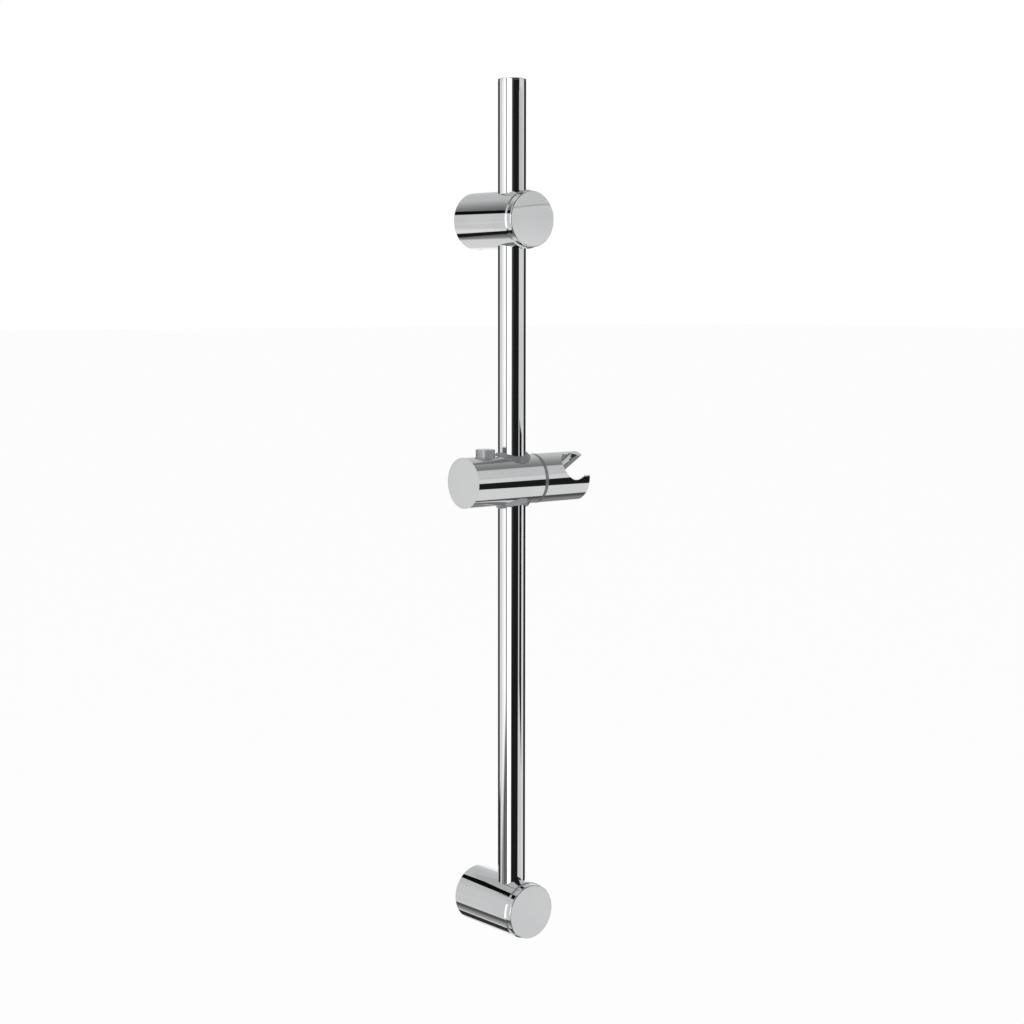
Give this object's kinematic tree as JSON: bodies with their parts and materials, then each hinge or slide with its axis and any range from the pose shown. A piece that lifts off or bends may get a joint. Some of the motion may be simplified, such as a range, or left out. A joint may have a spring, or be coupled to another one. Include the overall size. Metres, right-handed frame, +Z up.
{
  "type": "shower slide rail",
  "caption": "Round chromed shower rail on wall brackets, with a push-button slider that carries a tilting, slotted handset holder.",
  "frame": {"origin": "centre of the lower bracket's back face, on the wall plane", "axes": "+X to the right of someone who faces the wall, +Y into the wall, +Z up along the rail"},
  "size_m": [0.114, 0.0701, 0.6811],
  "materials": {
    "chrome": "polished",
    "grey_plastic": "satin",
    "steel": "satin",
    "zinc_casting": "matte",
    "white_nylon": "satin"
  },
  "bodies": {
    "lower_bracket": {"lower_bracket_barrel": "chrome", "lower_front_cap": "chrome", "lower_wall_plate": "zinc_casting", "lower_grub_screw": "steel", "lower_clamp_pad": "white_nylon", "lower_clamp_screw": "steel"},
    "rail": {"rail_tube": "chrome", "rail_top_cap": "chrome"},
    "upper_bracket": {"upper_bracket_barrel": "chrome", "upper_front_cap": "chrome", "upper_wall_plate": "zinc_casting", "upper_grub_screw": "steel", "upper_clamp_pad": "white_nylon", "upper_clamp_screw": "steel"},
    "slider": {"slider_body": "chrome", "slider_end_cap": "chrome", "upper_guide_bush": "grey_plastic", "lower_guide_bush": "grey_plastic", "friction_ring": "grey_plastic", "brake_spring": "steel", "spring_washer": "steel"},
    "holder": {"handset_holder": "chrome", "pivot_screw": "steel"},
    "button": {"release_button": "grey_plastic"},
    "brake": {"brake_shoe": "white_nylon"}
  },
  "joints": [
    {"name": "slider_swivel", "type": "hinge", "parent": "lower_bracket", "child": "rail", "pos_m": [0, -0.045, 0], "axis": [0, 0, 1], "range_deg": [-30, 20]},
    {"name": "slider_slide", "type": "slide", "parent": "rail", "child": "slider", "axis": [0, 0, 1], "range_m": [-0.299, 0.157]},
    {"name": "holder_tilt", "type": "hinge", "parent": "slider", "child": "holder", "pos_m": [0, -0.045, 0.346], "axis": [1, 0, 0], "continuous": true},
    {"name": "button_press", "type": "slide", "parent": "slider", "child": "button", "axis": [0, 0, -1], "range_m": [0, 0.003], "stiffness_N_per_m": 1000, "springref_m": -0.004},
    {"name": "brake_release", "type": "slide", "parent": "slider", "child": "brake", "axis": [-1, 0, 0], "range_m": [0, 0.0015], "deforming": ["brake_spring"]},
    {"name": "upper_bracket_adjust", "type": "slide", "parent": "lower_bracket", "child": "upper_bracket", "axis": [0, 0, 1], "range_m": [0, 0.08]}
  ],
  "couplings": [
    {"joint": "brake_release", "follows": "button_press", "ratio": 0.5}
  ]
}
